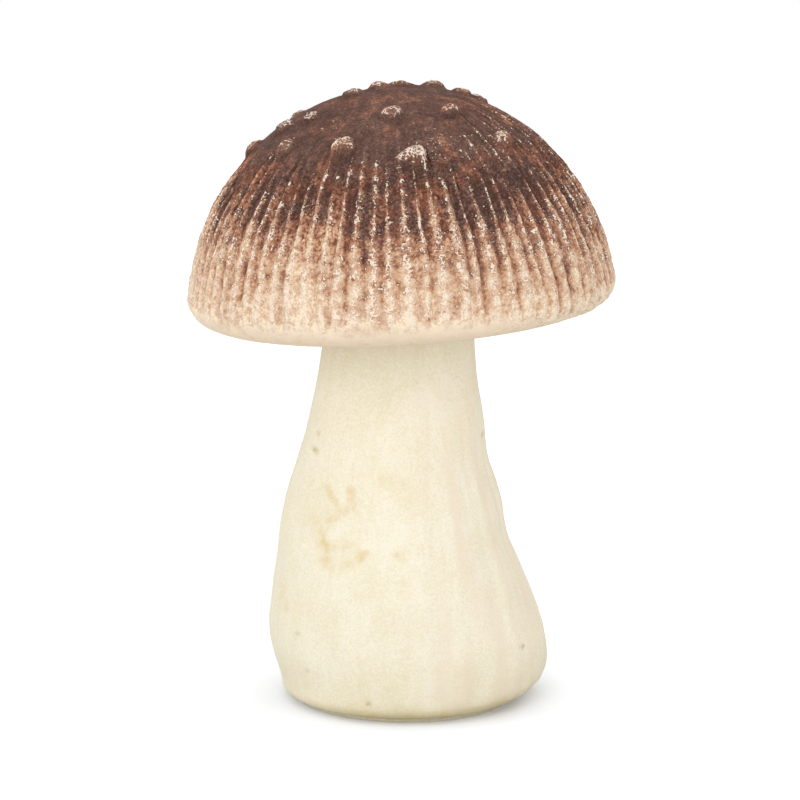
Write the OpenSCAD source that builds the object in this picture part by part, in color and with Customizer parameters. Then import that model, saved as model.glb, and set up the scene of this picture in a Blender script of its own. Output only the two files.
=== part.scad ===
// Decorative mushroom: a cast cap on a cast stem, joined by a steel dowel in a
// bed of adhesive, standing on a felt pad. Lengths are in millimetres.
// The origin is the middle of the pad's underside, +Z is up and the front faces -Y.

/* [Cap] */
// Widest diameter of the cap
cap_d = 83.6; // [74:0.2:96]
// Height of the dome above its widest line
dome_h = 39.4; // [32:0.2:48]
// Tuck of the dome's wall: how far its ellipse would run on below the widest line
dome_tuck = 6.4; // [3:0.2:8]
// Drop from the widest line to the lower edge of the rim
rim_drop = 5; // [3:0.2:7]
// How far the crown lies right of the rim's middle
crown_shift = 0.4; // [0:0.1:1.5]
// How far the lower edge of the rim lies inside the widest line
rim_inset = 6.4; // [4:0.2:8]
// Width of the plain land under the rim
rim_land = 1.8; // [1:0.2:3]
// Lean of the cap towards the left, in degrees
cap_lean = 3.4; // [0:0.1:5]

/* [Ribs and gills] */
// Number of ribs round the dome, with one gill under each
rib_count = 76; // [48:1:80]
// Height of a rib above the groove beside it
rib_h = 0.7; // [0.2:0.1:1]
// Rise of the underside from the rim's lower edge to the seat round the stem
gill_rise = 7.8; // [5:0.2:12]
// Depth of a gill
gill_h = 1.6; // [0.5:0.1:2.5]

/* [Warts] */
// Radius of the largest wart
wart_r = 2.7; // [1.5:0.1:3.5]

/* [Stem] */
// Height of the stem from its underside to the shoulder under the cap
stem_h = 83; // [65:1:100]
// Widest radius of the foot
foot_r = 27.6; // [23:0.2:31]
// Radius of the rounding at the foot's lower edge
foot_round = 2.4; // [2:0.2:5]
// Diameter of the neck at the shoulder
neck_d = 28; // [26:0.5:32]
// How far the neck's middle lies left of the foot's middle
neck_shift = 1.3; // [0:0.1:3]

/* [Joint] */
// Width of the shoulder round the tenon
shoulder_w = 1.6; // [1:0.1:2.5]
// Height of the tenon on top of the stem
tenon_h = 5; // [3:0.5:8]
// Thickness of the adhesive under and above the tenon
glue_t = 0.6; // [0.3:0.1:1]
// Thickness of the adhesive round the tenon
glue_side = 0.5; // [0.3:0.1:0.8]
// Diameter of the steel dowel
dowel_d = 6; // [4:0.5:8]
// Length of the dowel inside the stem
dowel_in_stem = 26; // [18:1:36]
// Length of the dowel inside the cap
dowel_in_cap = 14; // [10:1:20]

/* [Pad] */
// Thickness of the felt pad
pad_t = 1; // [0.6:0.2:3]
// How far the pad's edge lies inside the flat of the foot
pad_inset = 0.4; // [0.2:0.1:3]

/* [Hidden] */

cap_r = cap_d / 2;
neck_r = neck_d / 2;
dowel_r = dowel_d / 2;
tenon_r = neck_r - shoulder_w;
socket_r = tenon_r + glue_side;
socket_roof = tenon_h + glue_t;

// Gap left between the cast faces and the adhesive on their round sides
skin_gap = 0.04;
// Gap round the dowel in its two holes
dowel_gap = 0.1;
// Air left over the end of the dowel in the cap
dowel_air = 0.8;
// Bevel on both ends of the dowel
dowel_bevel = 0.6;
// Step from the neck's outside to the edge of the adhesive bed
bed_step = 0.5;
// Flat land on the cap's underside round the neck
seat_land = 1.6;
// How far a cut runs past the face that it opens
overrun = 0.5;
// How far the tenon reaches down into the stem's own body
tenon_root = 2;

// Heights in the joint's frame, whose zero is the stem's shoulder
seat_z = glue_t;
rim_z = seat_z - gill_rise;
widest_z = rim_z + rim_drop;

// The dome is close to an ellipse whose middle lies dome_tuck under the widest line.
// A power of the cosine below 1 makes its shoulders fuller.
dome_power = 0.97;
dome_b = dome_h + dome_tuck;
dome_start = asin(dome_tuck / dome_b);
dome_a = cap_r / pow(cos(dome_start), dome_power);

land_r = cap_r - rim_inset;
gill_r = land_r - rim_land;
seat_r = neck_r + seat_land;

// Each rib has one crest point and two groove points.
rib_points = 3;
cap_points = rib_count * rib_points;
// How much of a rib's height lies below the dome's own surface
groove_share = 0.65;
// Angle above the dome's middle at which the skin closes over the crown
crown_angle = 88;
dome_rings = 13;
rim_rings = 4;
under_rings = 5;
stem_points = 64;
stem_rings = 32;
// Power that packs the stem's rings closer together at the foot
ring_packing = 1.5;
round_fn = 64;

// Ribs fade in between these angles above the dome's middle, and out round the rim.
rib_top = 50;
rib_full = 36;
rib_end = 60;

// Outline of the stem: shares of its height, and at each of them how much of the
// flare from neck to foot shows on that side.
height_shares = [0, 0.045, 0.11, 0.17, 0.255, 0.33, 0.37, 0.41, 0.48, 0.575, 0.665, 0.76, 0.86, 1];
left_shares = [0.79, 0.82, 0.94, 0.965, 0.91, 0.835, 0.8, 0.765, 0.67, 0.505, 0.35, 0.21, 0.095, 0];
right_shares = [0.7, 0.95, 1, 0.95, 0.775, 0.585, 0.47, 0.41, 0.345, 0.19, 0.14, 0.05, 0.025, 0];
front_shares = [0.85, 0.875, 0.89, 0.89, 0.85, 0.755, 0.7, 0.64, 0.525, 0.375, 0.24, 0.125, 0.05, 0];
back_shares = [0.86, 0.91, 0.935, 0.92, 0.85, 0.765, 0.705, 0.65, 0.535, 0.38, 0.24, 0.125, 0.05, 0];

// Warts: angle round the cap from +X, angle above the dome's middle, and share of
// the largest radius.
wart_place_shares = [
    [176, 50, 0.8], [215, 54, 0.9], [247, 56, 1], [279, 52, 1.05], [325, 53, 0.85],
    [192, 60, 0.85], [207, 66, 0.75], [270, 70, 0.85], [314, 68, 0.7], [14, 71, 0.75],
    [28, 64, 0.75], [34, 77, 0.85], [196, 80, 0.8], [130, 85, 0.9], [97, 47, 0.85],
    [43, 52, 0.9], [80, 60, 1], [111, 54, 0.85], [144, 58, 0.95], [63, 68, 0.75],
    [98, 71, 0.85], [120, 63, 0.8]
];
// How deep a wart's middle lies in the dome, as a share of its radius
wart_sink_share = 0.4;

// Value at x of a smooth curve through the points (keys, values)
function span_at(keys, x, i = 0) = i >= len(keys) - 2 || x <= keys[i + 1] ? i : span_at(keys, x, i + 1);
function slope_at(keys, values, i) =
    let (low = max(i - 1, 0), high = min(i + 1, len(keys) - 1))
    (values[high] - values[low]) / (keys[high] - keys[low]);
function smooth_at(keys, values, x) =
    let (
        i = span_at(keys, x),
        width = keys[i + 1] - keys[i],
        s = (x - keys[i]) / width,
        start = slope_at(keys, values, i) * width,
        end = slope_at(keys, values, i + 1) * width,
        rise = values[i + 1] - values[i]
    )
    values[i] + s * (start + s * (3 * rise - 2 * start - end + s * (start + end - 2 * rise)));

// 0 at a, 1 at b and smooth between
function fade(a, b, x) = let (s = min(max((x - a) / (b - a), 0), 1)) s * s * (3 - 2 * s);

// Faces of a closed skin over rings of n points each, the first ring at the bottom
function skin_faces(rings, n) = concat(
    [[for (i = [0 : n - 1]) i]],
    [for (k = [0 : rings - 2], i = [0 : n - 1], half = [0, 1])
        let (j = (i + 1) % n, low = k * n, high = low + n)
        half == 0 ? [low + i, high + i, high + j] : [low + i, high + j, low + j]],
    [[for (i = [n - 1 : -1 : 0]) (rings - 1) * n + i]]
);

// Point of the dome's outline at an angle above its middle: [radius, height, shift to the right]
function dome_at(angle) = [
    dome_a * pow(cos(angle), dome_power),
    widest_z - dome_tuck + dome_b * sin(angle),
    crown_shift * fade(dome_start, 90, angle)
];

// Rings of the cap from the seat outwards, round the rim and up the dome:
// [radius, height, how much of a rib, how much of a gill, shift to the right]
function underside() = [for (k = [0 : under_rings])
    let (angle = 90 - 90 * k / under_rings)
    [seat_r + (gill_r - seat_r) * cos(angle), rim_z + gill_rise * sin(angle), 0, sqrt(abs(sin(2 * angle))), 0]];
function rim() = [for (k = [0 : rim_rings])
    let (angle = 90 - 90 * k / rim_rings)
    [land_r + rim_inset * cos(angle), widest_z - rim_drop * sin(angle), 1 - fade(0, rib_end, angle), 0, 0]];
function dome() = [for (k = [1 : dome_rings])
    let (angle = dome_start + (crown_angle - dome_start) * k / dome_rings)
    [dome_at(angle)[0], dome_at(angle)[1], 1 - fade(rib_full, rib_top, angle), 0, dome_at(angle)[2]]];

function cap_ring(ring) = [for (i = [0 : cap_points - 1])
    let (
        angle = 360 * i / cap_points,
        crest = i % rib_points == 0 ? 1 : 0,
        r = ring[0] + rib_h * ring[2] * (crest - groove_share)
    )
    [r * cos(angle) + ring[4], r * sin(angle), ring[1] - gill_h * ring[3] * crest]];

// Radius of the stem at a share of its height, in a direction round it
function stem_radius(share, angle) =
    let (
        side_shares = cos(angle) > 0 ? right_shares : left_shares,
        face_shares = sin(angle) > 0 ? back_shares : front_shares,
        flare = pow(cos(angle), 2) * smooth_at(height_shares, side_shares, share)
            + pow(sin(angle), 2) * smooth_at(height_shares, face_shares, share),
        up = min(share * stem_h / foot_round, 1)
    )
    neck_r + (foot_r - neck_r) * flare - foot_round * (1 - sqrt(1 - pow(1 - up, 2)));

function stem_ring(share) = [for (i = [0 : stem_points - 1])
    let (
        angle = 360 * i / stem_points,
        lean = cap_lean * pow(share, 2),
        r = stem_radius(share, angle)
    )
    [
        r * cos(angle) * cos(lean) - neck_shift * share,
        r * sin(angle),
        pad_t + stem_h * share + r * cos(angle) * sin(lean)
    ]];

// Outline of the pad, cut to the shape of the foot's flat
function pad_outline() = [for (i = [0 : stem_points - 1])
    let (angle = 360 * i / stem_points, r = stem_radius(0, angle) - pad_inset)
    [r * cos(angle), r * sin(angle)]];

// Frame of the joint: the stem's shoulder, leaning with the cap
module at_joint() {
    translate([-neck_shift, 0, pad_t + stem_h]) rotate([0, -cap_lean, 0]) children();
}

module wart(place) {
    spot = dome_at(place[1]);
    r = wart_r * place[2];
    translate([spot[2], 0, 0]) rotate([0, 0, place[0]]) translate([spot[0], 0, spot[1]])
        rotate([0, 90 - place[1], 0]) translate([0, 0, -r * wart_sink_share])
            sphere(r = r, $fn = round_fn);
}

module cap_body() {
    rings = concat(underside(), rim(), dome());
    polyhedron(
        points = [for (ring = rings) each cap_ring(ring)],
        faces = skin_faces(len(rings), cap_points),
        convexity = 6
    );
}

// Cast cap: ribbed dome with warts, gilled underside, socket and dowel hole
module cap() {
    color("rosybrown") at_joint() difference() {
        union() {
            cap_body();
            for (place = wart_place_shares) wart(place);
        }
        translate([0, 0, seat_z - overrun])
            cylinder(r = socket_r, h = socket_roof - seat_z + overrun, $fn = round_fn);
        translate([0, 0, socket_roof - overrun])
            cylinder(r = dowel_r + dowel_gap, h = overrun + dowel_in_cap + dowel_air, $fn = round_fn);
    }
}

// Cast stem: uneven bulb with a tenon on its shoulder and a dowel hole down its middle
module stem() {
    color("ivory") difference() {
        union() {
            polyhedron(
                points = [for (k = [0 : stem_rings]) each stem_ring(pow(k / stem_rings, ring_packing))],
                faces = skin_faces(stem_rings + 1, stem_points),
                convexity = 4
            );
            at_joint() translate([0, 0, -tenon_root])
                cylinder(r = tenon_r, h = tenon_root + tenon_h, $fn = round_fn);
        }
        at_joint() translate([0, 0, tenon_h - dowel_in_stem])
            cylinder(r = dowel_r + dowel_gap, h = dowel_in_stem + overrun, $fn = round_fn);
    }
}

// Steel dowel, standing on the bottom of its hole in the stem
module dowel() {
    length = dowel_in_stem + glue_t + dowel_in_cap;
    color("lightsteelblue") at_joint() translate([0, 0, tenon_h - dowel_in_stem])
        rotate_extrude($fn = round_fn) polygon([
            [0, 0], [dowel_r - dowel_bevel, 0], [dowel_r, dowel_bevel],
            [dowel_r, length - dowel_bevel], [dowel_r - dowel_bevel, length], [0, length]
        ]);
}

// Set adhesive: bed on the shoulder, sleeve round the tenon and disc over it
module cap_adhesive() {
    sleeve_in = tenon_r + skin_gap;
    sleeve_out = socket_r - skin_gap;
    color("darkkhaki") at_joint() rotate_extrude($fn = round_fn) polygon([
        [sleeve_in, 0], [neck_r - bed_step, 0], [neck_r - bed_step, glue_t], [sleeve_out, glue_t],
        [sleeve_out, socket_roof], [dowel_r + dowel_gap, socket_roof], [dowel_r + dowel_gap, tenon_h],
        [sleeve_in, tenon_h]
    ]);
}

// Felt pad that the foot stands on
module felt_pad() {
    color("linen") linear_extrude(height = pad_t) polygon(pad_outline());
}

cap();
stem();
dowel();
cap_adhesive();
felt_pad();
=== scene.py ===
import math
import random
from types import SimpleNamespace

import bpy
import numpy as np
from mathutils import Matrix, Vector, noise


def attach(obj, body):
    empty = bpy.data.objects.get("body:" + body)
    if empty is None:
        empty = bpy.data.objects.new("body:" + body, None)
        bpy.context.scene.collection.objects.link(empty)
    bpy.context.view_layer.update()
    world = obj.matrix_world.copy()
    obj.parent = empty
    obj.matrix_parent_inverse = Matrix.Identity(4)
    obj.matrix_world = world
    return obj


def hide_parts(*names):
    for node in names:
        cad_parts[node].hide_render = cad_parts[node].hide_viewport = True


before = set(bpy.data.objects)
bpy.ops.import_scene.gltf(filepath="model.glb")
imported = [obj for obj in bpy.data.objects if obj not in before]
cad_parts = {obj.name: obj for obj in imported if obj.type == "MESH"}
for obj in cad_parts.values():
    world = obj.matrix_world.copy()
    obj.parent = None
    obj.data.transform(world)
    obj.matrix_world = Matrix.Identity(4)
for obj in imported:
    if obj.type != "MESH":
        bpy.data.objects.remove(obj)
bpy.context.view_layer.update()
mm = 0.001  # lengths below are millimetres, the frame is in metres
print("frame loaded:", sorted(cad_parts))


# Helpers for nodes and colours

def linearColour(hexColour):
    channels = [int(hexColour[i:i + 2], 16) / 255 for i in (1, 3, 5)]
    curve = [c / 12.92 if c <= 0.04045 else ((c + 0.055) / 1.055) ** 2.4 for c in channels]
    return (*curve, 1.0)


def addNode(tree, kind, settings=None, links=None, out=0):
    # hands back one output of the new node, or the node itself with out=None
    node = tree.nodes.new("ShaderNode" + kind)
    for name, value in (settings or {}).items():
        if name == "stops":  # a colour ramp's places and colours
            ramp = node.color_ramp
            while len(ramp.elements) < len(value):
                ramp.elements.new(0.5)
            for element, (place, tone) in zip(ramp.elements, value):
                element.position = place
                element.color = linearColour(tone)
        elif isinstance(name, str) and hasattr(node, name):
            setattr(node, name, value)
        else:
            node.inputs[name].default_value = value
    for name, socket in (links or {}).items():
        tree.links.new(socket, node.inputs[name])
    return node if out is None else node.outputs[out]


def newMaterial(name):
    material = bpy.data.materials.new(name)
    material.use_nodes = True
    material.node_tree.nodes.clear()
    return material, material.node_tree


def finishSurface(tree, colour, height, bump, shading):
    # a material's last nodes: bump is its strength and its depth in mm, shading the shader's own values
    strength, depth = bump
    normal = addNode(tree, "Bump", {"Strength": strength, "Distance": depth * mm}, {"Height": height})
    shader = addNode(tree, "BsdfPrincipled", shading, {"Base Color": colour, "Normal": normal})
    addNode(tree, "OutputMaterial", links={"Surface": shader}, out=None)


def perMetre(sizeMm):
    return 1 / (sizeMm * mm)  # noise scale whose grains are about that wide


# Helpers for shapes: all of them work in millimetres

joint = {
    "shoulder": (-1.3, 0.0, 84.0),  # middle of the stem's shoulder
    "lean": 3.4,  # degrees that the cap leans to the left
    "tenonRadius": 12.4,
    "tenonHeight": 5.0,
    "socketRadius": 12.9,
    "socketRoof": 5.6,
    "holeRadius": 3.1,
    "holeInStem": 26.0,  # depth below the tenon's top
    "holeInCap": 14.8,  # depth above the socket's roof
}

sharpFrom = 50  # degrees between two faces from which their edge stays sharp


def fromJoint(points):
    lean = math.radians(joint["lean"])
    turn = np.array([[math.cos(lean), 0, -math.sin(lean)], [0, 1, 0], [math.sin(lean), 0, math.cos(lean)]])
    return points @ turn.T + np.array(joint["shoulder"])


def smoothStep(low, high, x):
    s = np.clip((x - low) / (high - low), 0, 1)
    return s * s * (3 - 2 * s)


def noiseAt(points, sizeMm, seed=0, octaves=1):
    shift = np.array([17.3, 5.1, 29.7]) * seed
    return np.array([noise.fractal(p, 1.0, 2.0, octaves) for p in points / sizeMm + shift])


def smoothCurve(keys, values, x):
    # cubic through the points, with the slopes taken from the neighbours
    keys, values = np.array(keys), np.array(values)
    i = np.clip(np.searchsorted(keys, x) - 1, 0, len(keys) - 2)
    low = np.maximum(np.arange(len(keys)) - 1, 0)
    high = np.minimum(np.arange(len(keys)) + 1, len(keys) - 1)
    slopes = (values[high] - values[low]) / (keys[high] - keys[low])
    width = keys[i + 1] - keys[i]
    s = (x - keys[i]) / width
    start, end = slopes[i] * width, slopes[i + 1] * width
    rise = values[i + 1] - values[i]
    return values[i] + s * (start + s * (3 * rise - 2 * start - end + s * (start + end - 2 * rise)))


def skinFaces(counts):
    # quads between rings of as many points, triangles where a ring has half or twice as many
    faces = [list(reversed(range(counts[0])))]
    start = 0
    for low, high in zip(counts, counts[1:]):
        top = start + low
        for i in range(min(low, high)):
            j = (i + 1) % min(low, high)
            if low == high:
                faces.append((start + i, start + j, top + j, top + i))
            elif low > high:
                a, b, c = start + 2 * i, start + 2 * i + 1, start + (2 * i + 2) % low
                faces += [(a, b, top + i), (b, top + j, top + i), (b, c, top + j)]
            else:
                a, b, c = top + 2 * i, top + 2 * i + 1, top + (2 * i + 2) % high
                faces += [(start + i, b, a), (start + i, start + j, b), (start + j, c, b)]
        start = top
    faces.append(list(range(start, start + counts[-1])))
    return faces


def newPiece(name, points, faces, material, attributes=None):
    mesh = bpy.data.meshes.new(name)
    mesh.from_pydata((points * mm).tolist(), [], faces)
    mesh.polygons.foreach_set("use_smooth", [True] * len(mesh.polygons))
    mesh.set_sharp_from_angle(angle=math.radians(sharpFrom))
    for key, values in (attributes or {}).items():
        kind, field = ("FLOAT_VECTOR", "vector") if values.ndim == 2 else ("FLOAT", "value")
        layer = mesh.attributes.new(key, kind, "POINT")
        layer.data.foreach_set(field, values.astype(np.float32).ravel())
    mesh.materials.append(material)
    mesh.update()
    piece = bpy.data.objects.new(name, mesh)
    bpy.context.scene.collection.objects.link(piece)
    return piece


# Painted cement: matt and sandy, a dark brown wash thinned out over beige,
# brushed off-white where it stands proud

capPaint = {
    "warmWash": [(0.0, "#FFEBCF"), (0.14, "#E8CBAD"), (0.3, "#D6AC8B"), (0.46, "#B27F62"),
                 (0.6, "#8D5B48"), (0.78, "#694437"), (1.0, "#54352B")],
    "coolWash": [(0.0, "#FBE7CC"), (0.14, "#E3C7AD"), (0.3, "#CEA68A"), (0.46, "#A37C66"),
                 (0.6, "#7D5D52"), (0.78, "#634940"), (1.0, "#4D3730")],
    "fleck": [(0.0, "#D2A88B"), (0.45, "#E4C6AC"), (1.0, "#FFF2E0")],  # where thin, and where thick
    "grain": 0.45,  # sizes in millimetres
    "dust": 0.5,
    "speck": 1.0,
    "blotch": 2.4,
    "cloud": 5.5,
    "vein": 1.1,  # spacing of the lines in which the brushed flecks hang together
    "streakWide": 0.9,
    "streakLong": 5.0,
    "lineCatch": 0.52,  # how much more of the brush's paint such a line catches, and a bead
    "beadCatch": 0.58,
    "fleckFrom": 0.86,  # catch at which a fleck begins to show
    "fleckCover": 0.92,
    "bump": (0.6, 0.3),
    "shading": {"Roughness": 0.9, "IOR": 1.45, "Specular IOR Level": 0.16},
}


def makePaintedCement(v):
    material, tree = newMaterial("washedDryBrushedCement")
    place = addNode(tree, "TexCoord", out="Object")
    cover, gritty, brush, knob = (addNode(tree, "Attribute", {"attribute_name": name}, out="Fac")
                                  for name in ("washCover", "gritty", "dryBrush", "knob"))
    flow = addNode(tree, "Attribute", {"attribute_name": "flow"}, out="Vector")
    patterns = {"grain": {"Detail": 2.0, "Roughness": 0.6}, "dust": {"Detail": 1.0},
                "speck": {"Detail": 1.5, "Distortion": 0.5}, "blotch": {"Detail": 3.0, "Roughness": 0.6},
                "cloud": {"Detail": 3.0, "Roughness": 0.6}, "vein": {"Detail": 1.5, "Distortion": 0.15}}
    grain, dust, speck, blotch, cloud, vein = (
        addNode(tree, "TexNoise", {"Scale": perMetre(v[name]), **kind}, {"Vector": place})
        for name, kind in patterns.items())
    wide, long = perMetre(v["streakWide"]), perMetre(v["streakLong"])
    drawn = addNode(tree, "Mapping", {"Scale": (wide, wide, long)}, {"Vector": flow})
    streak = addNode(tree, "TexNoise", {"Scale": 1.0, "Detail": 2.0}, {"Vector": drawn})
    # off-white flecks, beads and wavering lines of them on what the brush has caught, most on top of a wart
    offLine = addNode(tree, "Math", {"operation": "SUBTRACT", 1: 0.5}, {0: vein})
    offLine = addNode(tree, "Math", {"operation": "ABSOLUTE"}, {0: offLine})
    lines = addNode(tree, "MapRange", {1: 0.02, 2: 0.1, 3: v["lineCatch"], 4: 0.0}, {0: offLine})
    beads = addNode(tree, "MapRange", {1: 0.56, 2: 0.65, 3: 0.0, 4: v["beadCatch"]}, {0: dust})
    lines = addNode(tree, "Math", {"operation": "MAXIMUM"}, {0: lines, 1: beads})
    facing = addNode(tree, "NewGeometry", out="Normal")
    upward = addNode(tree, "SeparateXYZ", links={0: facing}, out="Z")
    onTop = addNode(tree, "Math", {"operation": "MULTIPLY"}, {0: knob, 1: upward})
    caught = addNode(tree, "Math", {"operation": "MULTIPLY_ADD", 1: 0.2}, {0: onTop, 2: brush})
    caught = addNode(tree, "Math", {"operation": "MULTIPLY_ADD", 1: 0.4}, {0: grain, 2: caught})
    caught = addNode(tree, "Math", {"operation": "MULTIPLY_ADD", 1: 0.6}, {0: speck, 2: caught})
    caught = addNode(tree, "Math", {"operation": "ADD"}, {0: caught, 1: lines})
    flecks = addNode(tree, "MapRange", {1: v["fleckFrom"], 2: 1.0, 3: 0.0, 4: v["fleckCover"]}, {0: caught})
    # dark rims round the flecks: wash gathered round the raised crumbs, and their painted shadow
    gatheredAndShaded = addNode(tree, "MapRange", {1: 0.7, 2: v["fleckFrom"], 3: 0.0, 4: 0.15}, {0: caught})
    # how much wash lies on a spot: the mesh's cover, torn by blotches,
    # and on the flank by streaks, dust and specks
    streaky = addNode(tree, "Math", {"operation": "MULTIPLY_ADD", 1: 0.5, 2: -0.25}, {0: streak})
    dusty = addNode(tree, "Math", {"operation": "MULTIPLY_ADD", 1: 0.7, 2: -0.34}, {0: dust})
    specked = addNode(tree, "MapRange", {1: 0.5, 2: 0.66, 3: -0.04, 4: 0.22}, {0: speck})
    loose = addNode(tree, "Math", {"operation": "ADD"}, {0: streaky, 1: dusty})
    loose = addNode(tree, "Math", {"operation": "ADD"}, {0: loose, 1: specked})
    torn = addNode(tree, "Math", {"operation": "MULTIPLY_ADD", 1: 0.7, 2: -0.35}, {0: blotch})
    laid = addNode(tree, "MapRange", {1: 0.04, 2: 0.2, 3: 0.45, 4: 1.0}, {0: cover})
    torn = addNode(tree, "Math", {"operation": "MULTIPLY"}, {0: torn, 1: laid})
    thick = addNode(tree, "MapRange", {1: 0.5, 2: 0.68, 3: 0.0, 4: 1.0}, {0: cover})
    softer = addNode(tree, "Math", {"operation": "MULTIPLY_ADD", 1: -0.25, 2: 1.0}, {0: thick})
    torn = addNode(tree, "Math", {"operation": "MULTIPLY"}, {0: torn, 1: softer})
    wash = addNode(tree, "Math", {"operation": "MULTIPLY_ADD"}, {0: loose, 1: gritty, 2: torn})
    wash = addNode(tree, "Math", {"operation": "ADD"}, {0: wash, 1: cover})
    wash = addNode(tree, "Math", {"operation": "MULTIPLY_ADD"}, {0: gatheredAndShaded, 1: gritty, 2: wash})
    # the thick wash of the crown: granular, with loose reddish patches
    patch = addNode(tree, "MapRange", {1: 0.48, 2: 0.6, 3: 0.03, 4: -0.15}, {0: cloud})
    crumbs = addNode(tree, "MapRange", {1: 0.4, 2: 0.58, 3: 0.0, 4: 1.0}, {0: dust})
    patch = addNode(tree, "Math", {"operation": "MULTIPLY"}, {0: patch, 1: crumbs})
    sandy = addNode(tree, "Math", {"operation": "MULTIPLY_ADD", 1: -0.7, 2: 0.35}, {0: grain})
    sandy = addNode(tree, "Math", {"operation": "ADD"}, {0: sandy, 1: patch})
    wash = addNode(tree, "Math", {"operation": "MULTIPLY_ADD"}, {0: sandy, 1: thick, 2: wash})
    warm, cool = (addNode(tree, "ValToRGB", {"stops": v[name]}, {"Fac": wash})
                  for name in ("warmWash", "coolWash"))
    # duller in some places than in others, and on most of the crown
    crown = addNode(tree, "Math", {"operation": "MULTIPLY_ADD", 1: -1.0}, {0: gritty, 2: thick})
    tone = addNode(tree, "MapRange", {1: 0.6, 2: 0.42, 3: 0.0, 4: 1.0}, {0: cloud})
    tone = addNode(tree, "Math", {"operation": "MULTIPLY_ADD", 1: 0.65}, {0: crown, 2: tone})
    tone = addNode(tree, "Clamp", links={0: tone})
    washed = addNode(tree, "Mix", {"data_type": "RGBA"}, {0: tone, 6: warm, 7: cool}, out=2)
    fleckTone = addNode(tree, "ValToRGB", {"stops": v["fleck"]}, {"Fac": flecks})
    colour = addNode(tree, "Mix", {"data_type": "RGBA"}, {0: flecks, 6: washed, 7: fleckTone}, out=2)
    height = addNode(tree, "Math", {"operation": "MULTIPLY_ADD", 1: 0.14}, {0: flecks, 2: grain})
    height = addNode(tree, "Math", {"operation": "ADD"}, {0: height, 1: blotch})
    finishSurface(tree, colour, height, v["bump"], v["shading"])
    return material


# Cream wash on cement: matt, nearly even, with faint tan stains and pinholes

stemPaint = {
    "cream": "#F5EED5",
    "pale": "#FAF4E1",
    "warm": "#F0E6C9",
    "stain": "#E2C684",
    "blush": "#F3E0CA",  # pinker than the rest, in streaks on the right
    "soil": "#BFAD72",  # painted shade at the foot and under the cap, and handling dirt in pinholes
    "cloud": 9.0,
    "brushMark": 1.4,
    "markStretch": 0.12,  # the brush marks run upright, about eight times as long as wide
    "grain": 0.45,
    "bump": (0.4, 0.12),
    "shading": {"Roughness": 0.75, "IOR": 1.45, "Specular IOR Level": 0.3},
}


def makeCreamCement(v):
    material, tree = newMaterial("creamWashedCement")
    place = addNode(tree, "TexCoord", out="Object")
    stretch = addNode(tree, "Mapping", {"Scale": (1.0, 1.0, v["markStretch"])}, {"Vector": place})
    cloud = addNode(tree, "TexNoise", {"Scale": perMetre(v["cloud"]), "Detail": 4.0}, {"Vector": place})
    marks = addNode(tree, "TexNoise", {"Scale": perMetre(v["brushMark"]), "Detail": 3.0}, {"Vector": stretch})
    grain = addNode(tree, "TexNoise", {"Scale": perMetre(v["grain"]), "Detail": 3.0}, {"Vector": place})
    faint = addNode(tree, "Math", {"operation": "MULTIPLY_ADD", 1: 0.5, 2: 0.25}, {0: cloud})
    tones = addNode(tree, "Math", {"operation": "MULTIPLY_ADD", 1: 0.3}, {0: marks, 2: faint})
    sandy = addNode(tree, "Math", {"operation": "SUBTRACT", 1: 0.5}, {0: grain})
    tones = addNode(tree, "Math", {"operation": "ADD"}, {0: tones, 1: sandy})
    stops = [(0.45, v["warm"]), (0.64, v["cream"]), (0.8, v["pale"])]
    colour = addNode(tree, "ValToRGB", {"stops": stops}, {"Fac": tones})
    stain, blush, soil = (addNode(tree, "Attribute", {"attribute_name": name}, out="Fac")
                          for name in ("stain", "blush", "soil"))
    soak = addNode(tree, "Math", {"operation": "MULTIPLY"}, {0: stain, 1: cloud})
    # the last mix lays painted shade at the foot and under the cap, and dirt in pinholes
    for name, share in (("blush", blush), ("stain", soak), ("soil", soil)):
        over = {"data_type": "RGBA", 7: linearColour(v[name])}
        colour = addNode(tree, "Mix", over, {0: share, 6: colour}, out=2)
    height = addNode(tree, "Math", {"operation": "ADD"}, {0: grain, 1: marks})
    finishSurface(tree, colour, height, v["bump"], v["shading"])
    return material


# Wool felt: short matted fibres, no gloss, soft sheen at the edge

feltFinish = {
    "light": "#E9E0C9",
    "dark": "#D3C7A9",
    "fibre": 0.35,  # real fibres are far finer: drawn as coarse as they need to show
    "bump": (0.6, 0.15),
    "shading": {"Roughness": 0.95, "Sheen Weight": 0.3, "IOR": 1.5, "Specular IOR Level": 0.2},
}


def makeWoolFelt(v):
    material, tree = newMaterial("creamWoolFelt")
    place = addNode(tree, "TexCoord", out="Object")
    matted = {"Scale": perMetre(v["fibre"]), "Detail": 4.0, "Distortion": 2.0}
    fibres = addNode(tree, "TexNoise", matted, {"Vector": place})
    tone = addNode(tree, "ValToRGB", {"stops": [(0.35, v["dark"]), (0.65, v["light"])]}, {"Fac": fibres})
    finishSurface(tree, tone, fibres, v["bump"], v["shading"])
    return material


# Drawn steel: fine lines along the bar, slightly dull

steelFinish = {
    "bright": "#A9AAAC",
    "dull": "#8C8D90",
    "drawLine": 0.12,  # coarser than the real lines, so that they show
    "lineStretch": 0.03,
    "bump": (0.2, 0.02),
    "shading": {"Metallic": 1.0, "Roughness": 0.38},
}


def makeDrawnSteel(v):
    material, tree = newMaterial("drawnSteel")
    place = addNode(tree, "TexCoord", out="Object")
    stretch = addNode(tree, "Mapping", {"Scale": (1.0, 1.0, v["lineStretch"])}, {"Vector": place})
    lines = addNode(tree, "TexNoise", {"Scale": perMetre(v["drawLine"]), "Detail": 2.0}, {"Vector": stretch})
    tone = addNode(tree, "ValToRGB", {"stops": [(0.35, v["dull"]), (0.65, v["bright"])]}, {"Fac": lines})
    finishSurface(tree, tone, lines, v["bump"], v["shading"])
    return material


# Set construction adhesive: beige, satin, with small bubbles

adhesiveFinish = {
    "light": "#CDBF9B",
    "dark": "#B5A580",
    "bubble": 0.7,
    "bump": (0.3, 0.08),
    "shading": {"Roughness": 0.5, "IOR": 1.5},
}


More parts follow.
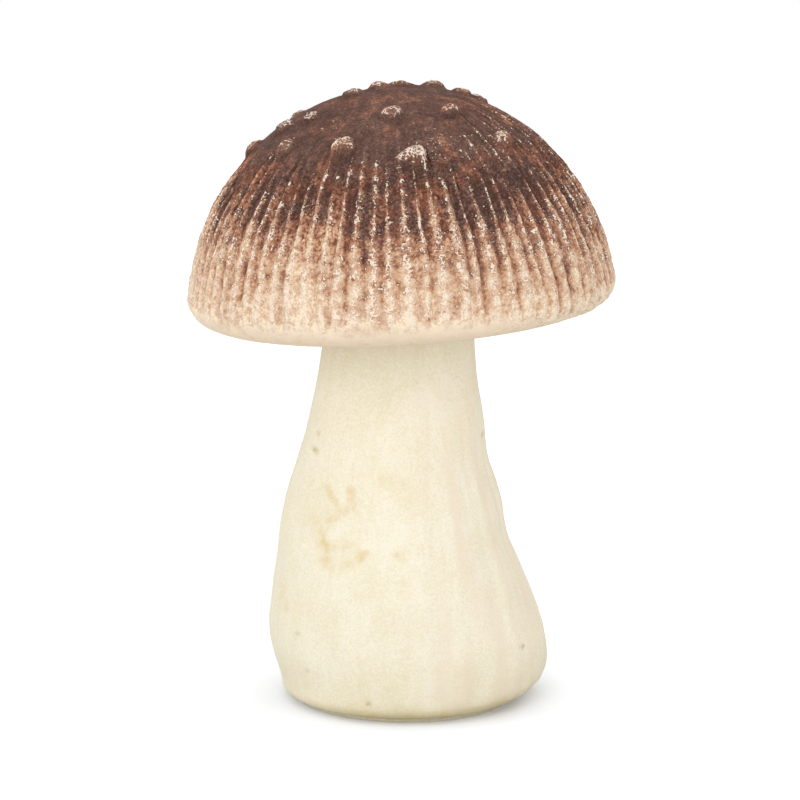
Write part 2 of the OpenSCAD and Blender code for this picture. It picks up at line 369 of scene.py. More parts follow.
def makeSetAdhesive(v):
    material, tree = newMaterial("setConstructionAdhesive")
    place = addNode(tree, "TexCoord", out="Object")
    bubbles = addNode(tree, "TexVoronoi", {"Scale": perMetre(v["bubble"])}, {"Vector": place})
    tone = addNode(tree, "ValToRGB", {"stops": [(0.1, v["dark"]), (0.35, v["light"])]}, {"Fac": bubbles})
    finishSurface(tree, tone, bubbles, v["bump"], v["shading"])
    return material


paintedCement = makePaintedCement(capPaint)
creamCement = makeCreamCement(stemPaint)
woolFelt = makeWoolFelt(feltFinish)
drawnSteel = makeDrawnSteel(steelFinish)
setAdhesive = makeSetAdhesive(adhesiveFinish)
print("materials made")


# The cap: one skin from the dowel hole, round the rim and up to the crown

capForm = {
    "width": 83.6,
    "domeHeight": 39.4,
    "domePower": 0.97,  # power of the cosine in its outline: below 1 for fuller shoulders
    "tuck": 6.4,  # how far the middle of its outline lies below the widest ring
    "crownShift": 0.4,  # how far the crown lies to the right
    "crownEnd": 88.6,  # dome angle of the last ring
    "rimDrop": 5.0,  # from the widest ring down to the land
    "rimInset": 6.4,  # and in to it
    "land": 1.8,
    "seat": 0.6,  # height of the seat above the stem's shoulder
    "seatRadius": 15.6,
    "gillRise": 7.8,
    "gillDepth": 1.5,
    "ribs": 76,
    "ribSeed": 5,
    "ribHeight": 0.7,
    "ribWander": 0.2,  # share of the rib spacing that a groove strays
    "ribTop": (38.0, 52.0),  # dome angles between which the ribs fade
    "crestsFrom": (20.0, 36.0),  # dome angles between which narrow grooves give way to narrow crests
    "higherRight": 14.0,  # degrees that the ribs run further up on the right
    "lowerRight": 18.0,  # and further down
    "crumbSize": 1.15,  # the crests crumble into beads
    "crumbs": 0.36,
    "wartRise": 0.95,
    "cragSize": 1.1,
    "crags": 0.3,
    "skirt": 0.15,  # rise of the ground round a wart
    "lump": 0.28,
    "lumpSize": 13.0,
    "smallLump": 0.07,
    "smallLumpSize": 3.2,
    "sand": 0.045,
    "sandSize": 0.9,
    "sunk": 0.09,  # the whole lies that far in, to make room for them
    "ringStep": 0.6,
    "wartStep": 0.42,
    "thinOut": (15.0, 7.5, 2.5),  # radii inside which a ring has half as many points as before
}
ribShares = [0, 0.08, 0.2, 0.35, 0.5, 0.65, 0.8, 0.92]  # samples from one groove to the next
inside, underside = -90, -60  # stand for the dome angle in the socket and under the cap

# Warts: degrees round from +X, dome angle, radius at the foot and height
wartPlaces = [
    (176, 50, 2.0, 1.25), (215, 54, 2.2, 1.3), (247, 55.2, 2.5, 1.5), (278, 51.3, 2.6, 1.7),
    (325, 53, 2.1, 1.35), (192, 60, 2.1, 1.3), (207, 66, 1.9, 1.2), (271, 68.7, 2.1, 1.35),
    (310, 66.7, 2.0, 1.4), (14, 71, 1.9, 1.1), (28, 64, 1.9, 1.1), (34, 77, 2.1, 1.2),
    (196, 80, 2.0, 1.2), (130, 85, 2.2, 1.1), (97, 47, 2.1, 1.3), (43, 52, 2.2, 1.35),
    (80, 60, 2.5, 1.5), (111, 54, 2.1, 1.3), (144, 58, 2.4, 1.4), (63, 68, 1.9, 1.15),
    (98, 71, 2.1, 1.3), (120, 63, 2.0, 1.2), (72, 84, 2.3, 0.8),
]

capWash = {
    "heights": [-12, 0, 11, 17, 23, 29, 35, 41, 47, 60, 90],  # dome angles, and how much wash lies there
    "covers": [-0.02, 0.08, 0.18, 0.27, 0.35, 0.51, 0.64, 0.74, 0.75, 0.72, 0.71],
    "strays": 6.5,  # degrees that its edge wanders up and down, and crumbles
    "straySize": 7.0,
    "crumbles": 4.5,
    "crumbleSize": 3.2,
    "lowerRight": 3.0,  # degrees that it comes further down on the right
    "runs": 0.21,  # how much more lies in the thin runs down the grooves
    "runsLeft": 0.15,  # the same at the far left
    "bars": 0.2,  # and in the dark bars above them
    "onWarts": -0.17,
    # more wash low on each wart is painted shadow
    "paintedShadeUnderWarts": 0.15,
    "knee": (0.78, 0.45),  # above the first, more wash counts by the second: dark pools keep some grain
}
# Where more or less wash lies than round about:
# degrees round, dome angle, spread round and up, how much more
washPools = [
    (302, 38, 9, 5, 0.15), (300, 31, 4, 3, 0.1), (244, 42, 10, 4, 0.05), (260, 37, 5, 4, 0.1),
    (270, 47, 10, 3, 0.06), (222, 36, 10, 5, -0.12), (320, 41, 11, 4, 0.12), (225, 66, 30, 10, 0.06),
    (252, 33, 5, 3, -0.1), (255, 28, 13, 4, 0.07), (262, 66, 18, 8, -0.06), (277, 36, 5, 5, -0.16),
    (240, 30, 6, 3, -0.08), (292, 54, 9, 4, -0.08), (322, 32, 6, 3, -0.05), (296, 26, 14, 5, -0.07),
    (60, 38, 10, 5, 0.12), (110, 34, 8, 4, -0.12), (150, 42, 9, 4, 0.1), (30, 33, 6, 4, -0.08),
    (85, 44, 9, 4, 0.1), (185, 35, 9, 4, 0.08),
]

capBrush = {
    "least": -0.33,  # what the dry brush leaves on bare ground
    "crests": 0.32,  # and how much more on the upper crests and in their crumbs,
    "crestCrumbs": 0.28,
    "flank": 0.13,  # down the flank, on its ridges and in their crumbs,
    "flankRidges": 0.28,
    "flankCrumbs": 0.25,
    "warts": 0.19,  # on the warts, less low on them,
    "lowOnWarts": -0.12,
    "strewn": 0.2,  # strewn over the shoulder,
    "inPools": -0.35,  # and where the wash has pooled
}
# Where the brush left more: as for the pools
brushPools = [(264, 9, 9, 9, 0.12), (287, 16, 5, 8, 0.06), (236, 18, 5, 7, 0.05)]


def domePoint(v, angle):
    radius, tall = v["width"] / 2, v["domeHeight"] + v["tuck"]
    start = math.asin(v["tuck"] / tall)
    wide = radius / math.cos(start) ** v["domePower"]
    widest = v["seat"] - v["gillRise"] + v["rimDrop"]
    a = math.radians(angle)
    shift = v["crownShift"] * float(smoothStep(start, math.pi / 2, a))
    return wide * math.cos(a) ** v["domePower"], widest - v["tuck"] + tall * math.sin(a), shift, wide, tall


def capStations(v):
    # for each ring: radius, height, outward radius and height, dome angle, points, gill share, arc, shift
    full = v["ribs"] * len(ribShares)
    rimZ = v["seat"] - v["gillRise"]
    widest = rimZ + v["rimDrop"]
    landRadius = v["width"] / 2 - v["rimInset"]
    gillWidth = landRadius - v["land"] - v["seatRadius"]
    roof, socket, hole = joint["socketRoof"], joint["socketRadius"], joint["holeRadius"]
    rows = []
    for r, z in [(hole, roof + joint["holeInCap"]), (hole, roof), (socket, roof), (socket, v["seat"])]:
        rows.append((r, z, 0, 0, inside, full // 8, 0, 0, 0))
    for a in np.linspace(90, 0, 22):
        c, s = math.cos(math.radians(a)), math.sin(math.radians(a))
        count = full // 4 if a == 90 else full // 2 if a > 78 else full
        gill = 0 if a == 90 else math.sqrt(abs(math.sin(math.radians(2 * a))))
        rows.append((v["seatRadius"] + gillWidth * c, rimZ + v["gillRise"] * s, -s, -c, underside,
                     count, gill, 0, 0))
    for a in np.linspace(90, 0, 13):
        c, s = math.cos(math.radians(a)), math.sin(math.radians(a))
        r, z = landRadius + v["rimInset"] * c, widest - v["rimDrop"] * s
        rows.append((r, z, c, -s, -a / 3, full, 0, -math.radians(a) * v["rimDrop"], 0))
    angle = first = math.degrees(math.asin(v["tuck"] / (v["domeHeight"] + v["tuck"])))
    arc = 0
    while angle < v["crownEnd"]:
        r, z, shift, wide, tall = domePoint(v, angle)
        a = math.radians(angle)
        away = np.array([math.cos(a) / wide, math.sin(a) / tall])
        away /= np.linalg.norm(away)
        speed = math.hypot(wide * math.sin(a), tall * math.cos(a))
        step = v["ringStep"] if angle < v["ribTop"][0] else v["wartStep"]
        if angle > first:
            count = full // 2 ** sum(r <= limit for limit in v["thinOut"])
            rows.append((r, z, *away, angle, count, 0, arc, shift))
        angle += math.degrees(step / speed)
        arc += step
    return rows


def drawRibs(v):
    # what chance gives to each rib, or to the groove beside it
    random.seed(v["ribSeed"])
    ribs = range(v["ribs"])
    return SimpleNamespace(
        jitter=np.array([random.uniform(-1, 1) for _ in ribs]),
        strength=np.array([random.uniform(0.5, 1.3) for _ in ribs]),
        crestShift=np.array([random.uniform(-9, 7) for _ in ribs]),  # degrees that a crest starts lower
        grooveEnd=np.array([random.uniform(-4, 9) for _ in ribs]),  # dome angle where a groove starts
        grooveWash=np.array([random.gauss(0, 3) for _ in ribs]),  # degrees that the wash ends higher in it
        barEnd=np.array([random.choice([29, 31, 33, 60, 60, 60]) + random.uniform(-1, 1) for _ in ribs]),
        runEnd=np.array([random.uniform(-4, 24) for _ in ribs]),  # where the thinner run below the bar ends
        runDepth=np.array([random.choice([0.25, 0.5, 0.8, 1.0]) for _ in ribs]))


def capSkin(v, rows, drawn):
    # all the cap's points and what later steps need to know of them, before anything rises from it
    ribs, samples = v["ribs"], len(ribShares)
    shares = np.array(ribShares)
    blocks = []
    for r, z, awayR, awayZ, angle, count, gill, arc, shift in rows:
        slow, quick, deep = (np.array([noise.noise((arc / size, k * apart, row)) for k in range(ribs)])
                             for size, apart, row in ((11, 3.7, 1.5), (1.9, 3.7, 8.5), (7, 2.3, 40.5)))
        deep = np.where(shares < 0.5, deep[:, None], np.roll(deep, -1)[:, None]).ravel()
        lines = np.arange(ribs) + v["ribWander"] * (drawn.jitter + 0.9 * (slow + 0.5 * quick))
        following = np.append(lines[1:], lines[0] + ribs)
        around = (lines[:, None] + shares * (following - lines)[:, None]).ravel()
        skip = ribs * samples // count
        ownRib, ownShare = np.repeat(np.arange(ribs), samples), np.tile(shares, ribs)
        alike = [np.full(count, value) for value in (r, z, awayR, awayZ, angle, gill, arc, shift)]
        blocks.append(np.stack([around[::skip] * 2 * math.pi / ribs, ownRib[::skip], ownShare[::skip],
                                deep[::skip], *alike], 1))
    azimuth, rib, share, deep, r, z, awayR, awayZ, angle, gill, arc, shift = np.concatenate(blocks).T
    rib = rib.astype(int)
    side, face = np.cos(azimuth), np.sin(azimuth)
    edge = v["width"] / 2
    return SimpleNamespace(
        points=np.stack([r * side + shift, r * face, z], 1),
        away=np.stack([awayR * side, awayR * face, awayZ], 1),
        flow=np.stack([edge * side, edge * face, arc], 1),  # the skin unrolled: round the rim, up the dome
        turn=np.degrees(azimuth), angle=angle, side=side, rib=rib, share=share, deep=deep, gill=gill,
        nearer=np.where(share < 0.5, rib, (rib + 1) % ribs),  # the groove that a point is nearer to
        onDome=(angle > -45) & (gill == 0),
        rightward=smoothStep(0.35, 0.85, side))


def raiseRibs(v, skin, drawn):
    # broad with narrow, broken grooves low down, narrow jagged crests between broad troughs higher up
    wide = noiseAt(skin.points, 9, 3)
    skin.ragged = noiseAt(skin.points, v["crumbSize"], 7, 2)
    crestEnd = skin.angle + 5 * wide + drawn.crestShift[skin.rib] - v["higherRight"] * skin.rightward
    fadeTop = 1 - 0.95 * smoothStep(*v["ribTop"], crestEnd)
    grooveStart = skin.angle - drawn.grooveEnd[skin.nearer] + v["lowerRight"] * skin.rightward
    skin.fadeRim = smoothStep(-7, 1, grooveStart)
    skin.upper = smoothStep(*v["crestsFrom"], skin.angle + 4 * wide)
    broken = 0.2 + 0.8 * smoothStep(-0.45, 0.1, skin.deep)
    skin.groove = np.abs(np.cos(np.pi * skin.share)) ** 5 * broken
    skin.crest = np.abs(np.sin(np.pi * skin.share)) ** 5
    skin.profile = (1 - skin.upper) * (1 - skin.groove) + skin.upper * skin.crest
    skin.ribMask = fadeTop * skin.fadeRim * skin.onDome
    skin.fine = skin.rightward * smoothStep(34, 44, skin.angle)  # thin, even lines high on the right
    crumbs = (v["crumbs"] - 0.2 * skin.fine) * skin.profile * skin.ragged
    rise = v["ribHeight"] * drawn.strength[skin.rib] * skin.ribMask * (skin.profile - 0.65 + crumbs)
    return rise * (1 - 0.4 * skin.fine)


def raiseWarts(v, skin):
    # craggy knobs that rise steeply from the dome
    wart, skin.skirt, skin.lower = (np.zeros(len(skin.points)) for _ in range(3))
    for number, (turn, domeAngle, radius, tall) in enumerate(wartPlaces):
        cr, cz, cx, _, _ = domePoint(v, domeAngle)
        centre = np.array([cr * math.cos(math.radians(turn)) + cx, cr * math.sin(math.radians(turn)), cz])
        reach = np.linalg.norm(skin.points - centre, axis=1)
        near = np.flatnonzero((reach < 2.4 * radius) & skin.onDome)
        uneven = noiseAt(skin.points[near], 2.2, 11 + number, 2)
        reach = reach[near] / (radius * (1.1 + 0.3 * uneven))
        below = smoothStep(0, 2, domeAngle - skin.angle[near])  # the underside, laid with painted shadow as more wash
        skin.lower[near] = np.maximum(skin.lower[near], (1 - smoothStep(0.9, 1.6, reach)) * below)
        knob = np.clip(1 - reach ** 2, 0, 1) ** 0.7
        wart[near] = np.maximum(wart[near], knob * tall)
        skin.skirt[near] = np.maximum(skin.skirt[near], 1 - smoothStep(0.7, 1.9, reach))
    skin.knob = np.clip(wart / 0.8, 0, 1)
    crag = noiseAt(skin.points, v["cragSize"], 23, 2)
    return v["wartRise"] * wart * (1 + v["crags"] * crag) + v["skirt"] * skin.skirt


def raiseLumps(v, skin):
    # the hand-made unevenness of the whole, and its sand
    lumps = v["lump"] * noiseAt(skin.points, v["lumpSize"], 2, 2)
    lumps += v["smallLump"] * noiseAt(skin.points, v["smallLumpSize"], 4, 2)
    sand = v["sand"] * noiseAt(skin.points, v["sandSize"], 9, 1)
    return lumps * smoothStep(-30, 0, skin.angle) + sand - v["sunk"]


def poolsAt(places, skin):
    total = np.zeros(len(skin.points))
    for turn, domeAngle, spreadRound, spreadUp, more in places:
        off = ((skin.turn - turn + 180) % 360 - 180) / spreadRound
        total += more * np.exp(-off ** 2 - ((skin.angle + 3 * skin.stray - domeAngle) / spreadUp) ** 2)
    return total * skin.onDome


def washCap(v, skin, drawn):
    # thicker up the dome, at its own height in each groove, and run down further in some of them
    angle, profile, side, nearer = skin.angle, skin.profile, skin.side, skin.nearer
    inGroove = (1 - skin.upper) * skin.groove + skin.upper * (1 - profile)
    crumbled = noiseAt(skin.flow * np.array([1, 1, 1.8]), v["crumbleSize"], 33, 2)
    lifted = angle - v["strays"] * skin.stray - v["crumbles"] * crumbled
    lifted += v["lowerRight"] * side - drawn.grooveWash[nearer] * (0.4 + 0.6 * inGroove) - 0.5
    cover = np.interp(lifted, v["heights"], v["covers"])
    bar = inGroove ** 0.5 * smoothStep(-1, 1, angle - drawn.barEnd[nearer])
    bar *= 1 - smoothStep(40, 46, angle + 4 * skin.stray)
    run = inGroove ** 2.4 * drawn.runDepth[nearer] * skin.fadeRim
    run *= smoothStep(-1.5, 1.5, angle - drawn.runEnd[nearer]) * (1 - smoothStep(30, 40, angle))
    runs = v["runs"] + (v["runsLeft"] - v["runs"]) * smoothStep(0.4, 0.8, -side)
    cover += (runs * run + v["bars"] * bar) * skin.ribMask
    # thinner on the crests, where it crumbles, and on the warts, thicker low on the right, and more under the
    # warts as painted shadow
    thinner = 0.06 + 0.14 * skin.upper - 0.05 * skin.fine + 0.14 * skin.ragged
    cover -= thinner * profile ** 2 * skin.ribMask
    cover += 0.03 * skin.skirt * (1 - skin.knob) + v["onWarts"] * skin.knob + v["paintedShadeUnderWarts"] * skin.lower
    lowDown = (1 - smoothStep(22, 32, angle)) * smoothStep(-30, 4, angle)
    cover += (0.07 + 0.12 * inGroove ** 2) * skin.rightward * lowDown
    cover += skin.pooled
    knee, slope = v["knee"]
    return np.where(cover > knee, knee + slope * (cover - knee), cover)


def brushCap(v, skin):
    # loose along the upper crests, thin in crumbly strings down the flank, broken on the warts
    angle = skin.angle
    ridge = skin.profile ** 1.4 * skin.ribMask
    flank = smoothStep(-10, 6, angle + 6 * skin.stray + 14 * skin.rightward)
    flank *= (1 - smoothStep(28, 40, angle)) * (1 - skin.upper)
    strewn = noiseAt(skin.points, 6, 71, 2) * smoothStep(26, 36, angle) * (1 - smoothStep(62, 72, angle))
    onCrests = v["crests"] - 0.1 * skin.fine + v["crestCrumbs"] * skin.ragged
    brush = v["least"] + onCrests * ridge * skin.upper * (1 - 0.5 * skin.knob)
    brush += (v["flank"] + (v["flankRidges"] + v["flankCrumbs"] * skin.ragged) * skin.crest) * flank
    brush += (v["warts"] + v["lowOnWarts"] * skin.lower) * skin.knob ** 2
    return brush + v["strewn"] * strewn - 0.02 * skin.fine + v["inPools"] * skin.pooled


def makeCap(v, material):
    drawn = drawRibs(v)
    rows = capStations(v)
    skin = capSkin(v, rows, drawn)
    rise = raiseRibs(v, skin, drawn) + raiseWarts(v, skin) + raiseLumps(v, skin)
    skin.points = skin.points + skin.away * (rise * skin.onDome)[:, None]
    gillCrest = np.abs(np.sin(np.pi * skin.share)) ** 3
    skin.points[:, 2] -= v["gillDepth"] * skin.gill * gillCrest * (0.85 + 0.15 * (drawn.jitter[skin.rib] + 1))
    skin.stray = noiseAt(skin.flow * np.array([1, 1, 0.4]), capWash["straySize"], 31, 3)
    skin.pooled = poolsAt(washPools, skin)
    # how much the grit tears the wash: most on the flank, little at the rim and on the crown
    gritty = smoothStep(-11, 9, skin.angle + 6 * skin.stray + 18 * skin.rightward)
    gritty *= (0.6 + 0.4 * smoothStep(16, 32, skin.angle)) * (1 - 0.75 * smoothStep(42, 56, skin.angle))
    attributes = {
        "washCover": washCap(capWash, skin, drawn),
        "gritty": gritty,
        "dryBrush": brushCap(capBrush, skin) + poolsAt(brushPools, skin),
        "knob": skin.knob,
        "flow": skin.flow * mm,
    }
    faces = skinFaces([row[5] for row in rows])
    piece = newPiece("paintedCap", fromJoint(skin.points), faces, material, attributes)
    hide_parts("cap")
    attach(piece, "root")
    return piece


cap = makeCap(capForm, paintedCement)
print("cap made:", len(cap.data.polygons), "faces")


# The stem: one skin from the middle of the foot up to the tenon and down the dowel hole

stemForm = {
    "height": 83.0,
    "padThickness": 1.0,
    "footRadius": 27.6,
    "neckRadius": 14.0,
    "neckShift": 1.3,
    "footRound": 2.4,
    "points": 288,
    "rings": 190,
    "ringCrowd": 1.25,  # above 1 the rings lie closer at the foot
    "wrapRadius": 26.0,  # the flutes and streaks are laid out on a tube this wide
    "flute": 0.27,
    "fluteSize": 4.6,
    "lump": 0.35,
    "lumpSize": 15.0,
    "smallLump": 0.05,
    "smallLumpSize": 2.5,
}

# The stem's outline: shares of its height, and on each side the share of the way from neck to foot radius
heightShares = [0, 0.045, 0.11, 0.17, 0.255, 0.33, 0.37, 0.41, 0.48, 0.575, 0.665, 0.76, 0.86, 1]
leftShares = [0.79, 0.82, 0.94, 0.965, 0.91, 0.835, 0.8, 0.765, 0.67, 0.505, 0.35, 0.21, 0.095, 0]
rightShares = [0.7, 0.95, 1, 0.95, 0.775, 0.585, 0.47, 0.41, 0.345, 0.19, 0.14, 0.05, 0.025, 0]
frontShares = [0.85, 0.875, 0.89, 0.89, 0.85, 0.755, 0.7, 0.64, 0.525, 0.375, 0.24, 0.125, 0.05, 0]
backShares = [0.86, 0.91, 0.935, 0.92, 0.85, 0.765, 0.705, 0.65, 0.535, 0.38, 0.24, 0.125, 0.05, 0]

# Stains: a line across and up the front, half its width, and strength
stainStrokes = [
    ([(-15.8, 44.9), (-14.8, 43.4), (-13.1, 41.8)], 0.7, 0.7), ([(-11.0, 44.8), (-10.6, 41.6)], 0.75, 0.75),
    ([(-10.6, 41.6), (-12.6, 41.0), (-14.9, 39.3), (-18.6, 38.3)], 0.75, 0.55),
    ([(-18.4, 38.2), (-16.2, 39.0)], 1.6, 0.3), ([(-16.5, 37.0), (-16.0, 35.4), (-15.5, 33.2)], 0.9, 0.75),
    ([(-17.4, 37.4), (-16.6, 35.6), (-16.4, 33.6)], 1.5, 0.35), ([(-15.9, 31.4), (-14.4, 30.2)], 1.5, 0.5),
    ([(-15.4, 33.0), (-12.6, 34.6), (-9.8, 33.9)], 0.9, 0.4), ([(-9.2, 32.5), (-7.9, 33.5)], 0.85, 0.8),
    ([(-12.8, 34.4), (-10.4, 33.6)], 1.7, 0.35), ([(-13.4, 31.0), (-10.4, 31.5)], 1.4, 0.35),
    ([(-24.2, 24.0), (-23.8, 20.6)], 0.9, 0.4), ([(-4.6, 47.2), (-1.4, 46.6)], 1.6, 0.25),
    ([(-2.2, 33.6), (-1.2, 32.4)], 0.8, 0.3),
    ([(-19.0, 2.6), (-8.0, 2.0), (8.0, 2.0), (19.0, 2.8)], 0.7, 0.35),
]
# Specks of dirt in pinholes: across, up, size and strength
dirtSpecks = [
    (-18.1, 51.2, 0.5, 0.9), (-17.3, 54.3, 0.4, 0.5), (15.0, 53.4, 0.5, 0.6), (15.9, 51.9, 0.45, 0.7),
    (22.8, 13.3, 0.42, 1.0), (-21.2, 16.2, 0.5, 0.4), (-7.6, 4.4, 0.5, 0.6), (-2.0, 33.2, 0.6, 0.3),
    (3.5, 11.5, 0.4, 0.25), (-19.6, 9.3, 0.5, 0.3),
]


def stemRadius(v, share, side, face):
    flare = side ** 2 * smoothCurve(heightShares, rightShares, share) * (side > 0)
    flare += side ** 2 * smoothCurve(heightShares, leftShares, share) * (side <= 0)
    flare += face ** 2 * smoothCurve(heightShares, backShares, share) * (face > 0)
    flare += face ** 2 * smoothCurve(heightShares, frontShares, share) * (face <= 0)
    up = min(share * v["height"] / v["footRound"], 1)
    r = v["neckRadius"] + (v["footRadius"] - v["neckRadius"]) * flare
    return r - v["footRound"] * (1 - math.sqrt(1 - (1 - up) ** 2))


def stemSkin(v, side, face):
    blocks = []
    for k in range(v["rings"] + 1):
        share = (k / v["rings"]) ** v["ringCrowd"]
        r = stemRadius(v, share, side, face)
        lean = math.radians(joint["lean"]) * share ** 2
        x = r * side * math.cos(lean) - v["neckShift"] * share
        z = v["padThickness"] + v["height"] * share + r * side * math.sin(lean)
        blocks.append(np.stack([x, r * face, z, np.full(len(side), share)], 1))
    x, y, z, share = np.concatenate(blocks).T
    away = np.stack([np.tile(side, v["rings"] + 1), np.tile(face, v["rings"] + 1), 0 * x], 1)
    return np.stack([x, y, z], 1), away, share


def raiseStem(v, points, away, share, body):
    # shallow upright flutes, strongest on the right, and soft lumps
    around = np.stack([away[:, 0] * v["wrapRadius"], away[:, 1] * v["wrapRadius"], points[:, 2] * 0.09], 1)
    onRight = 0.3 + 1.2 * smoothStep(-0.1, 0.6, away[:, 0])
    rise = v["flute"] * noiseAt(around, v["fluteSize"], 41, 2) * onRight * (1 - smoothStep(0.45, 0.85, share))
    rise += v["lump"] * noiseAt(points, v["lumpSize"], 43, 2)
    rise += v["smallLump"] * noiseAt(points, v["smallLumpSize"], 47, 2)
    return points + away * (rise * body)[:, None]


def stainStem(points, spot, front):
    stain = np.zeros(len(points))
    for line, half, strength in stainStrokes:
        for start, end in zip(np.array(line), np.array(line[1:])):
            along = np.clip((spot - start) @ (end - start) / np.dot(end - start, end - start), 0, 1)
            reach = np.linalg.norm(spot - start - along[:, None] * (end - start), axis=1)
            stain = np.maximum(stain, strength * np.exp(-(reach / half) ** 2) * front)
    return np.clip(stain * (1.2 + 0.9 * noiseAt(points, 2.3, 55, 3)), 0, 1.5)


def blushStem(v, away, share, height, body):
    # pinkish streaks, mostly on the right and below the neck
    around = np.stack([away[:, 0] * v["wrapRadius"], away[:, 1] * v["wrapRadius"], height * 0.15], 1)
    streaks = noiseAt(around, 3.4, 59, 3)
    blush = smoothStep(-0.5, 0.6, streaks) * (0.08 + 0.42 * smoothStep(-0.1, 0.5, away[:, 0])) * body
    return np.clip(blush * (1 - 0.6 * smoothStep(0.5, 0.85, share)), 0, 1)


def shadeAndDirtStem(points, away, share, spot, front):
    # painted shade at the foot, less at its left, and under the cap, and specks of dirt in pinholes
    leftward = smoothStep(0.1, 0.8, -away[:, 0])
    # darker towards the foot and under the cap: painted shade
    soil = 0.16 * (1 - smoothStep(0.04, 0.17, share)) + 0.34 * (1 - smoothStep(0.0, 0.05, share))
    soil = soil * (1 - 0.75 * leftward) + 0.28 * smoothStep(0.82, 1.0, share)
    soil = soil * (1 + 0.5 * noiseAt(points, 5, 63, 3))
    for across, up, size, strength in dirtSpecks:
        reach = np.linalg.norm(spot - np.array([across, up]), axis=1)
        soil += strength * np.exp(-(reach / size) ** 2) * front
    return np.clip(soil, 0, 1)


def makeStem(v, material):
    turn = np.linspace(0, 2 * math.pi, v["points"], endpoint=False)
    side, face = np.cos(turn), np.sin(turn)
    smooth, away, share = stemSkin(v, side, face)
    body = smoothStep(0, 0.03, share) * (1 - smoothStep(0.93, 0.995, share))
    points = raiseStem(v, smooth, away, share, body)
    # where a point lies among the front's stains and specks, whose edges fray
    fray = 0.6 * np.stack([noiseAt(points, 1.4, 53, 2), noiseAt(points, 1.4, 54, 2)], 1)
    spot = smooth[:, [0, 2]] + fray
    front = smoothStep(0.05, 0.35, -away[:, 1])
    marks = {
        "stain": stainStem(points, spot, front),
        "blush": blushStem(v, away, share, smooth[:, 2], body),
        "soil": shadeAndDirtStem(points, away, share, spot, front),
    }

    # tenon and dowel hole, in the joint's frame
    tenon, hole = joint["tenonRadius"], joint["holeRadius"]
    top, deep = joint["tenonHeight"], joint["tenonHeight"] - joint["holeInStem"]
    inner = [fromJoint(np.stack([r * side, r * face, np.full(len(side), h)], 1))
             for r, h in [(tenon, 0), (tenon, top), (hole, top), (hole, deep)]]
    bare = np.zeros(len(inner) * v["points"])
    attributes = {name: np.append(values, bare) for name, values in marks.items()}
    faces = skinFaces([v["points"]] * (v["rings"] + 1 + len(inner)))
    piece = newPiece("creamStem", np.concatenate([points] + inner), faces, material, attributes)
    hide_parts("stem")
    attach(piece, "root")
    return piece


stem = makeStem(stemForm, creamCement)
print("stem made:", len(stem.data.polygons), "faces")


# The felt pad under the foot, cut to its shape, with a soft, slightly frayed edge

padForm = {"points": 240, "inset": 0.4, "thick": 1.0, "fray": 0.12, "fraySize": 0.8, "soften": 0.25}


def makePad(v, material):
    turn = np.linspace(0, 2 * math.pi, v["points"], endpoint=False)
    side, face = np.cos(turn), np.sin(turn)
    edge = stemRadius(stemForm, 0, side, face) - v["inset"]
    thick, soft = v["thick"], v["soften"]
    # from the underside round the edge to the top: how far in, and how high
    section = [(8, 0), (2, 0), (soft, 0), (0.07, soft * 0.4), (0, thick / 2), (0.07, thick - soft * 0.4),
               (soft, thick), (2, thick), (8, thick)]
    rings = []
    for inset, height in section:
        ring = np.stack([(edge - inset) * side, (edge - inset) * face, height + 0 * turn], 1)
        if inset < 1:
            fray = v["fray"] * (noiseAt(ring, v["fraySize"], 61, 2) - 1)
            ring[:, :2] *= (1 + fray / edge)[:, None]
        rings.append(ring)
    piece = newPiece("feltPad", np.concatenate(rings), skinFaces([v["points"]] * len(rings)), material)
    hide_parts("felt_pad")
    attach(piece, "root")


makePad(padForm, woolFelt)
for name, material in (("dowel", drawnSteel), ("cap_adhesive", setAdhesive)):
    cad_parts[name].data.materials.clear()
    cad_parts[name].data.materials.append(material)
print("pad made, dowel and adhesive finished")


# Floor, lights and camera

stage = {
    "floorSize": 1.6,
    "floorColour": "#DCDCDC",  # what the floor throws back at the object
    "floorGain": (1.12, 1.16, 1.24),  # its colour as the camera sees it: brighter, and cool in the shadow
    "floorLift": 0.3,  # how much white is added to that
    "liftStart": 24.0,  # from this far out, growing until liftFull, in millimetres
    "liftFull": 52.0,
    "liftMiddle": (-2.0, -5.0),
    "worldStrength": 0.76,
    "lampSize": 0.9,
    "lampAim": (0, 0, 0.06),
    "lamps": [("keyLamp", (-0.2, -1.0, 0.4), 2.75), ("leftLamp", (-1.0, -0.35, 0.25), 1.95),
              ("rightLamp", (0.95, -0.55, 0.3), 2.0)],
}


def seenByCamera(tree):
    # 1 where the camera looks, also by way of metal or glass, and 0 for the light on the object
    rays = addNode(tree, "LightPath", out=None).outputs
    seen = rays["Is Camera Ray"]
    for kind in ("Is Glossy Ray", "Is Transmission Ray"):
        seen = addNode(tree, "Math", {"operation": "MAXIMUM"}, {0: seen, 1: rays[kind]})
    return seen


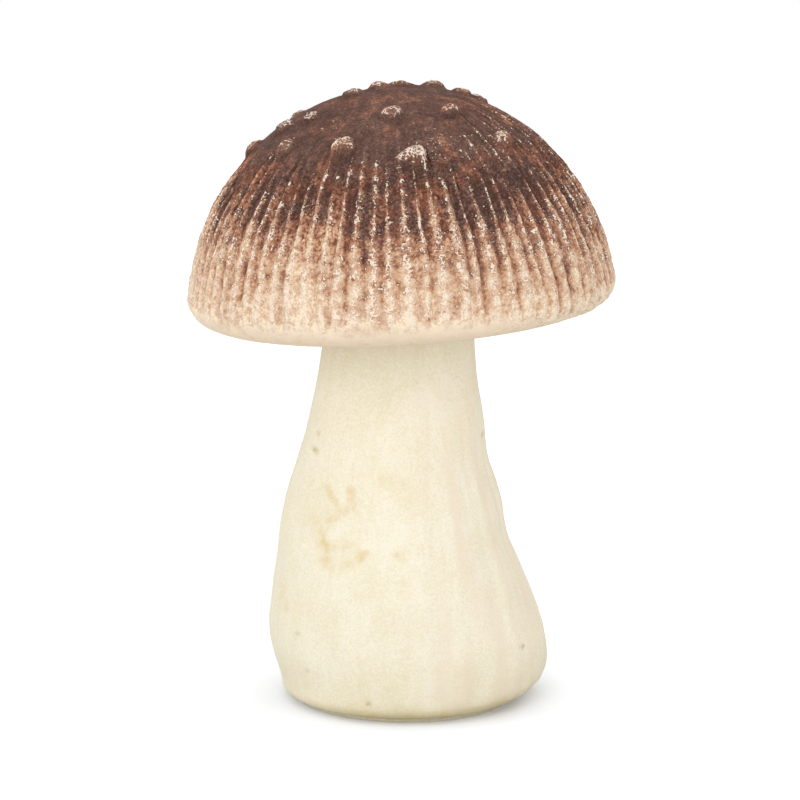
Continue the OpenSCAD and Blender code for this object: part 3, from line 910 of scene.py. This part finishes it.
def makeFloor(v):
    material, tree = newMaterial("paleStudioFloor")
    seen = seenByCamera(tree)
    place = addNode(tree, "TexCoord", out="Object")
    middle = (v["liftMiddle"][0] * mm, v["liftMiddle"][1] * mm, 0)
    farOut = addNode(tree, "VectorMath", {"operation": "DISTANCE", 1: middle}, {0: place}, out="Value")
    reach = {1: v["liftStart"] * mm, 2: v["liftFull"] * mm, 3: 0.0, 4: v["floorLift"]}
    lift = addNode(tree, "MapRange", reach, {0: farOut})
    lift = addNode(tree, "Math", {"operation": "MULTIPLY"}, {0: seen, 1: lift})
    tones = {"data_type": "RGBA", 6: linearColour(v["floorColour"]), 7: (*v["floorGain"], 1.0)}
    colour = addNode(tree, "Mix", tones, {0: seen}, out=2)
    matt = addNode(tree, "BsdfDiffuse", links={"Color": colour})
    glow = addNode(tree, "Emission", {"Color": (1, 1, 1, 1)}, {"Strength": lift})
    both = addNode(tree, "AddShader", links={0: matt, 1: glow})
    addNode(tree, "OutputMaterial", links={"Surface": both}, out=None)
    half = v["floorSize"] / 2
    mesh = bpy.data.meshes.new("floor")
    corners = [(-half, -half, 0), (half, -half, 0), (half, half, 0), (-half, half, 0)]
    mesh.from_pydata(corners, [], [(0, 1, 2, 3)])
    mesh.materials.append(material)
    floor = bpy.data.objects.new("floor", mesh)
    bpy.context.scene.collection.objects.link(floor)


def makeWorld(v):
    world = bpy.data.worlds.new("paleRoom")
    world.use_nodes = True
    tree = world.node_tree
    tree.nodes.clear()
    levels = {"data_type": "FLOAT", 2: v["worldStrength"], 3: 1.0}
    strength = addNode(tree, "Mix", levels, {0: seenByCamera(tree)})
    background = addNode(tree, "Background", {"Color": (1, 1, 1, 1)}, {"Strength": strength})
    addNode(tree, "OutputWorld", links={"Surface": background}, out=None)
    bpy.context.scene.world = world


def makeLamps(v):
    for name, place, power in v["lamps"]:
        lamp = bpy.data.lights.new(name, "AREA")
        lamp.shape = "DISK"
        lamp.size = v["lampSize"]
        lamp.energy = power
        holder = bpy.data.objects.new(name, lamp)
        holder.location = place
        holder.rotation_euler = (Vector(v["lampAim"]) - Vector(place)).to_track_quat("-Z", "Y").to_euler()
        bpy.context.scene.collection.objects.link(holder)


makeFloor(stage)
makeWorld(stage)
makeLamps(stage)

shot = {
    "distance": 0.908,
    "elevation": 11.05,
    "aim": (-0.00145, 0.0, 0.0594),
    "focalPixels": 4622.7,  # focal length as pixels of the photo's frame
    "framePixels": 800,
    "sensorWidth": 36.0,
}


def makeCamera(v):
    camera = bpy.data.cameras.new("photoCamera")
    camera.sensor_width = v["sensorWidth"]
    camera.lens = v["focalPixels"] / v["framePixels"] * v["sensorWidth"]
    camera.clip_start = 0.01
    rise = math.radians(v["elevation"])
    aim = Vector(v["aim"])
    holder = bpy.data.objects.new("photoCamera", camera)
    holder.location = aim + v["distance"] * Vector((0, -math.cos(rise), math.sin(rise)))
    holder.rotation_euler = (aim - holder.location).to_track_quat("-Z", "Y").to_euler()
    bpy.context.scene.collection.objects.link(holder)
    bpy.context.scene.camera = holder


makeCamera(shot)
bpy.context.scene.view_settings.view_transform = "Standard"
print("stage, lamps and camera set")
